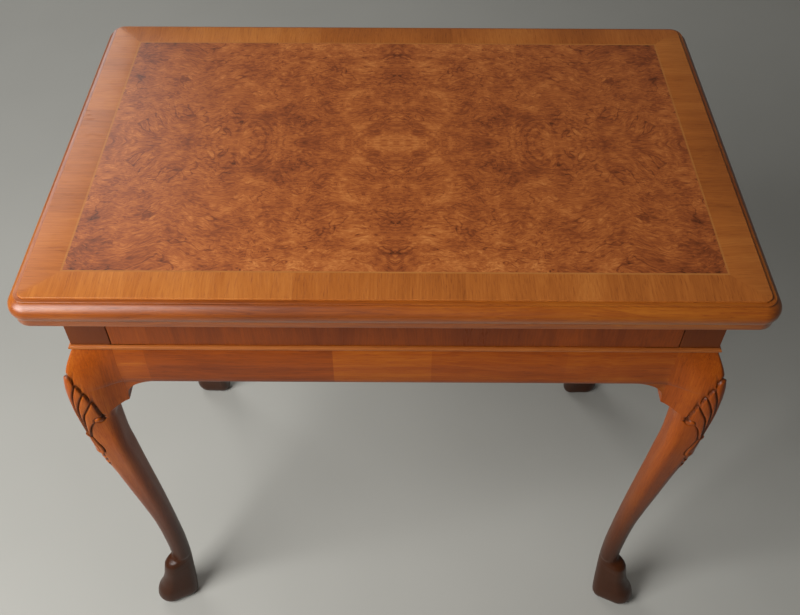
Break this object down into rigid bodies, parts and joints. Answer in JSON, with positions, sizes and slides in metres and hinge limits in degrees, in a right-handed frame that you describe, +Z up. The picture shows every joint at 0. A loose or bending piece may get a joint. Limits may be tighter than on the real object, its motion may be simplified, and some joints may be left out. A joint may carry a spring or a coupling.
{
  "type": "gaming table",
  "caption": "Small walnut table on carved cabriole legs: a lift-off moulded top over a shallow board-game well, with a full-width frieze drawer.",
  "frame": {"origin": "on the floor, under the middle of the table", "axes": "+X along the table's length to the right as seen from the drawer's side, +Y to the back, +Z up; the drawer opens to -Y"},
  "size_m": [0.762, 0.508, 0.737],
  "materials": {
    "burl_walnut": "book-matched burl walnut veneer, clear satin lacquer",
    "crossband_walnut": "cross-grain walnut veneer, clear satin lacquer",
    "boxwood_stringing": "pale boxwood line, clear satin lacquer",
    "walnut": "solid and veneered walnut, stained red-brown, satin lacquer",
    "walnut_bead": "light walnut half-round bead, satin lacquer",
    "secondary_oak": "plain pale oak, unfinished, used where it isn't seen",
    "field_leather": "dark green skiver leather",
    "point_light_leather": "cream inlaid leather",
    "point_dark_leather": "oxblood inlaid leather",
    "green_baize": "green wool baize",
    "screw_steel": "zinc-plated steel",
    "glide_plastic": "pale nylon"
  },
  "bodies": {
    "frame": {"apron_back": "walnut", "apron_front": "walnut", "apron_left": "walnut", "apron_right": "walnut", "brace_screws": "screw_steel", "corner_braces": "secondary_oak", "drawer_runner_left": "secondary_oak", "drawer_runner_right": "secondary_oak", "drawer_top_rail": "walnut", "field_lining": "field_leather", "foot_glides": "glide_plastic", "frieze_back": "walnut", "frieze_left": "walnut", "frieze_right": "walnut", "knee_block_back_left_back_face": "walnut", "knee_block_back_left_left_face": "walnut", "knee_block_back_right_back_face": "walnut", "knee_block_back_right_right_face": "walnut", "knee_block_front_left_front_face": "walnut", "knee_block_front_left_left_face": "walnut", "knee_block_front_right_front_face": "walnut", "knee_block_front_right_right_face": "walnut", "leg_back_left": "walnut", "leg_back_right": "walnut", "leg_front_left": "walnut", "leg_front_right": "walnut", "points_dark": "point_dark_leather", "points_light": "point_light_leather", "waist_bead_back": "walnut_bead", "waist_bead_front": "walnut_bead", "waist_bead_left": "walnut_bead", "waist_bead_right": "walnut_bead", "well_bar": "walnut", "well_floor": "secondary_oak", "well_liner_back": "walnut", "well_liner_front": "walnut", "well_liner_left": "walnut", "well_liner_right": "walnut"},
    "drawer": {"drawer_back": "secondary_oak", "drawer_bottom": "secondary_oak", "drawer_front": "walnut", "drawer_front_veneer": "crossband_walnut", "drawer_lining": "green_baize", "drawer_side_left": "secondary_oak", "drawer_side_right": "secondary_oak"},
    "top": {"burl_veneer_back_left": "burl_walnut", "burl_veneer_back_right": "burl_walnut", "burl_veneer_front_left": "burl_walnut", "burl_veneer_front_right": "burl_walnut", "crossband_back": "crossband_walnut", "crossband_front": "crossband_walnut", "crossband_left": "crossband_walnut", "crossband_right": "crossband_walnut", "edge_moulding_back": "walnut", "edge_moulding_front": "walnut", "edge_moulding_left": "walnut", "edge_moulding_right": "walnut", "locating_pegs": "secondary_oak", "stringing": "boxwood_stringing", "top_core": "secondary_oak"}
  },
  "joints": [
    {"name": "drawer_slide", "type": "slide", "parent": "frame", "child": "drawer", "axis": [0, -1, 0], "range_m": [0, 0.24]},
    {"name": "top_lift", "type": "slide", "parent": "frame", "child": "top", "axis": [0, 0, 1], "range_m": [0, 0.12]}
  ]
}
